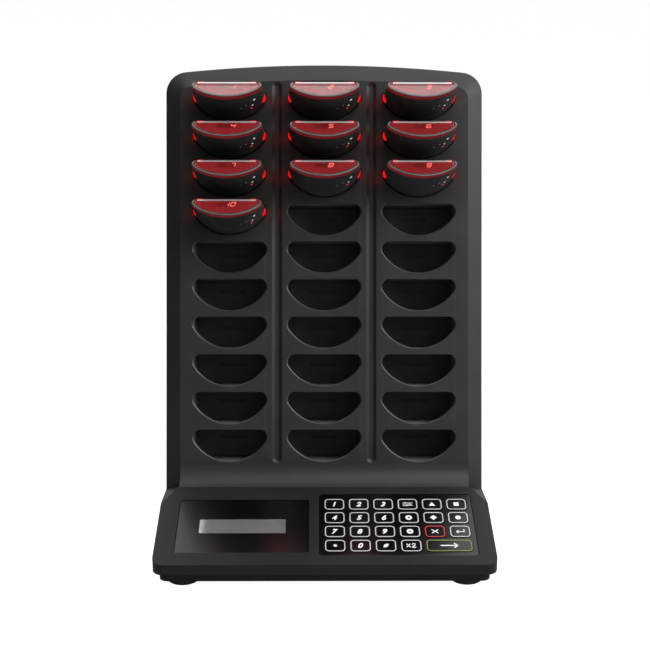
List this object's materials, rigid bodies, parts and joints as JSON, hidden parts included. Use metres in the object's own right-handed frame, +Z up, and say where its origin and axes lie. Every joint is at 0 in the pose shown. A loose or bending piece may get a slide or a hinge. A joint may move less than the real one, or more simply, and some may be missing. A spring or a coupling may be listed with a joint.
{
  "type": "guest pager system",
  "caption": "Desk transmitter with a sloping keypad deck and display and a leaning tower of D-shaped charging slots that hold lit pagers.",
  "frame": {"origin": "middle of the footprint on the table", "axes": "+Z up; the keypad and the pagers face -Y; +X is to the operator's right"},
  "size_m": [0.25, 0.244, 0.3523],
  "materials": {
    "housing": "fine-textured charcoal",
    "lower_cover": "satin black",
    "rack": "matte black",
    "board": "green solder mask",
    "feet": "matte",
    "screw": "zinc plated",
    "panel_gloss": "glossy black",
    "display": "grey display in a black frame",
    "switch": "matte black",
    "shield": "tinned",
    "inlet": "matte black",
    "key": "glossy black with a printed outline",
    "pager_case": "glossy black",
    "pager_window": "clear red"
  },
  "bodies": {
    "housing": {"tower_front": "housing", "pocket_rack_left": "rack", "pocket_rack_centre": "rack", "pocket_rack_right": "rack", "charge_board": "board", "rear_cover": "housing", "base_housing": "housing", "base_plate": "lower_cover", "rubber_feet": "feet", "case_screws": "screw", "display_window": "panel_gloss", "lcd_module": "display", "keypad_bezel": "panel_gloss", "main_board": "board", "key_switches": "switch", "radio_module": "shield", "dc_jack": "inlet"},
    "key_star_body": {"key_star": "key"},
    "key_0_body": {"key_0": "key"},
    "key_hash_body": {"key_hash": "key"},
    "key_double_body": {"key_double": "key"},
    "key_7_body": {"key_7": "key"},
    "key_8_body": {"key_8": "key"},
    "key_9_body": {"key_9": "key"},
    "key_ring_b_body": {"key_ring_b": "key"},
    "key_cancel_body": {"key_cancel": "key"},
    "key_enter_body": {"key_enter": "key"},
    "key_4_body": {"key_4": "key"},
    "key_5_body": {"key_5": "key"},
    "key_6_body": {"key_6": "key"},
    "key_ring_a_body": {"key_ring_a": "key"},
    "key_f3_body": {"key_f3": "key"},
    "key_f4_body": {"key_f4": "key"},
    "key_1_body": {"key_1": "key"},
    "key_2_body": {"key_2": "key"},
    "key_3_body": {"key_3": "key"},
    "key_setup_body": {"key_setup": "key"},
    "key_f1_body": {"key_f1": "key"},
    "key_f2_body": {"key_f2": "key"},
    "key_send_body": {"key_send": "key"},
    "pager_01": {"pager_01_case": "pager_case", "pager_01_window": "pager_window"},
    "pager_02": {"pager_02_case": "pager_case", "pager_02_window": "pager_window"},
    "pager_03": {"pager_03_case": "pager_case", "pager_03_window": "pager_window"},
    "pager_04": {"pager_04_case": "pager_case", "pager_04_window": "pager_window"},
    "pager_05": {"pager_05_case": "pager_case", "pager_05_window": "pager_window"},
    "pager_06": {"pager_06_case": "pager_case", "pager_06_window": "pager_window"},
    "pager_07": {"pager_07_case": "pager_case", "pager_07_window": "pager_window"},
    "pager_08": {"pager_08_case": "pager_case", "pager_08_window": "pager_window"},
    "pager_09": {"pager_09_case": "pager_case", "pager_09_window": "pager_window"},
    "pager_10": {"pager_10_case": "pager_case", "pager_10_window": "pager_window"}
  },
  "joints": [
    {"name": "press_star", "type": "slide", "parent": "housing", "child": "key_star_body", "axis": [0, 0.2588, -0.9659], "range_m": [0, 0.0005], "stiffness_N_per_m": 600, "springref_m": -0.0005},
    {"name": "press_0", "type": "slide", "parent": "housing", "child": "key_0_body", "axis": [0, 0.2588, -0.9659], "range_m": [0, 0.0005], "stiffness_N_per_m": 600, "springref_m": -0.0005},
    {"name": "press_hash", "type": "slide", "parent": "housing", "child": "key_hash_body", "axis": [0, 0.2588, -0.9659], "range_m": [0, 0.0005], "stiffness_N_per_m": 600, "springref_m": -0.0005},
    {"name": "press_double", "type": "slide", "parent": "housing", "child": "key_double_body", "axis": [0, 0.2588, -0.9659], "range_m": [0, 0.0005], "stiffness_N_per_m": 600, "springref_m": -0.0005},
    {"name": "press_7", "type": "slide", "parent": "housing", "child": "key_7_body", "axis": [0, 0.2588, -0.9659], "range_m": [0, 0.0005], "stiffness_N_per_m": 600, "springref_m": -0.0005},
    {"name": "press_8", "type": "slide", "parent": "housing", "child": "key_8_body", "axis": [0, 0.2588, -0.9659], "range_m": [0, 0.0005], "stiffness_N_per_m": 600, "springref_m": -0.0005},
    {"name": "press_9", "type": "slide", "parent": "housing", "child": "key_9_body", "axis": [0, 0.2588, -0.9659], "range_m": [0, 0.0005], "stiffness_N_per_m": 600, "springref_m": -0.0005},
    {"name": "press_ring_b", "type": "slide", "parent": "housing", "child": "key_ring_b_body", "axis": [0, 0.2588, -0.9659], "range_m": [0, 0.0005], "stiffness_N_per_m": 600, "springref_m": -0.0005},
    {"name": "press_cancel", "type": "slide", "parent": "housing", "child": "key_cancel_body", "axis": [0, 0.2588, -0.9659], "range_m": [0, 0.0005], "stiffness_N_per_m": 600, "springref_m": -0.0005},
    {"name": "press_enter", "type": "slide", "parent": "housing", "child": "key_enter_body", "axis": [0, 0.2588, -0.9659], "range_m": [0, 0.0005], "stiffness_N_per_m": 600, "springref_m": -0.0005},
    {"name": "press_4", "type": "slide", "parent": "housing", "child": "key_4_body", "axis": [0, 0.2588, -0.9659], "range_m": [0, 0.0005], "stiffness_N_per_m": 600, "springref_m": -0.0005},
    {"name": "press_5", "type": "slide", "parent": "housing", "child": "key_5_body", "axis": [0, 0.2588, -0.9659], "range_m": [0, 0.0005], "stiffness_N_per_m": 600, "springref_m": -0.0005},
    {"name": "press_6", "type": "slide", "parent": "housing", "child": "key_6_body", "axis": [0, 0.2588, -0.9659], "range_m": [0, 0.0005], "stiffness_N_per_m": 600, "springref_m": -0.0005},
    {"name": "press_ring_a", "type": "slide", "parent": "housing", "child": "key_ring_a_body", "axis": [0, 0.2588, -0.9659], "range_m": [0, 0.0005], "stiffness_N_per_m": 600, "springref_m": -0.0005},
    {"name": "press_f3", "type": "slide", "parent": "housing", "child": "key_f3_body", "axis": [0, 0.2588, -0.9659], "range_m": [0, 0.0005], "stiffness_N_per_m": 600, "springref_m": -0.0005},
    {"name": "press_f4", "type": "slide", "parent": "housing", "child": "key_f4_body", "axis": [0, 0.2588, -0.9659], "range_m": [0, 0.0005], "stiffness_N_per_m": 600, "springref_m": -0.0005},
    {"name": "press_1", "type": "slide", "parent": "housing", "child": "key_1_body", "axis": [0, 0.2588, -0.9659], "range_m": [0, 0.0005], "stiffness_N_per_m": 600, "springref_m": -0.0005},
    {"name": "press_2", "type": "slide", "parent": "housing", "child": "key_2_body", "axis": [0, 0.2588, -0.9659], "range_m": [0, 0.0005], "stiffness_N_per_m": 600, "springref_m": -0.0005},
    {"name": "press_3", "type": "slide", "parent": "housing", "child": "key_3_body", "axis": [0, 0.2588, -0.9659], "range_m": [0, 0.0005], "stiffness_N_per_m": 600, "springref_m": -0.0005},
    {"name": "press_setup", "type": "slide", "parent": "housing", "child": "key_setup_body", "axis": [0, 0.2588, -0.9659], "range_m": [0, 0.0005], "stiffness_N_per_m": 600, "springref_m": -0.0005},
    {"name": "press_f1", "type": "slide", "parent": "housing", "child": "key_f1_body", "axis": [0, 0.2588, -0.9659], "range_m": [0, 0.0005], "stiffness_N_per_m": 600, "springref_m": -0.0005},
    {"name": "press_f2", "type": "slide", "parent": "housing", "child": "key_f2_body", "axis": [0, 0.2588, -0.9659], "range_m": [0, 0.0005], "stiffness_N_per_m": 600, "springref_m": -0.0005},
    {"name": "press_send", "type": "slide", "parent": "housing", "child": "key_send_body", "axis": [0, 0.2588, -0.9659], "range_m": [0, 0.0005], "stiffness_N_per_m": 600, "springref_m": -0.0005},
    {"name": "lift_01", "type": "slide", "parent": "housing", "child": "pager_01", "axis": [0, -0.9511, 0.309], "range_m": [0, 0.05]},
    {"name": "lift_02", "type": "slide", "parent": "housing", "child": "pager_02", "axis": [0, -0.9511, 0.309], "range_m": [0, 0.05]},
    {"name": "lift_03", "type": "slide", "parent": "housing", "child": "pager_03", "axis": [0, -0.9511, 0.309], "range_m": [0, 0.05]},
    {"name": "lift_04", "type": "slide", "parent": "housing", "child": "pager_04", "axis": [0, -0.9511, 0.309], "range_m": [0, 0.05]},
    {"name": "lift_05", "type": "slide", "parent": "housing", "child": "pager_05", "axis": [0, -0.9511, 0.309], "range_m": [0, 0.05]},
    {"name": "lift_06", "type": "slide", "parent": "housing", "child": "pager_06", "axis": [0, -0.9511, 0.309], "range_m": [0, 0.05]},
    {"name": "lift_07", "type": "slide", "parent": "housing", "child": "pager_07", "axis": [0, -0.9511, 0.309], "range_m": [0, 0.05]},
    {"name": "lift_08", "type": "slide", "parent": "housing", "child": "pager_08", "axis": [0, -0.9511, 0.309], "range_m": [0, 0.05]},
    {"name": "lift_09", "type": "slide", "parent": "housing", "child": "pager_09", "axis": [0, -0.9511, 0.309], "range_m": [0, 0.05]},
    {"name": "lift_10", "type": "slide", "parent": "housing", "child": "pager_10", "axis": [0, -0.9511, 0.309], "range_m": [0, 0.05]}
  ]
}
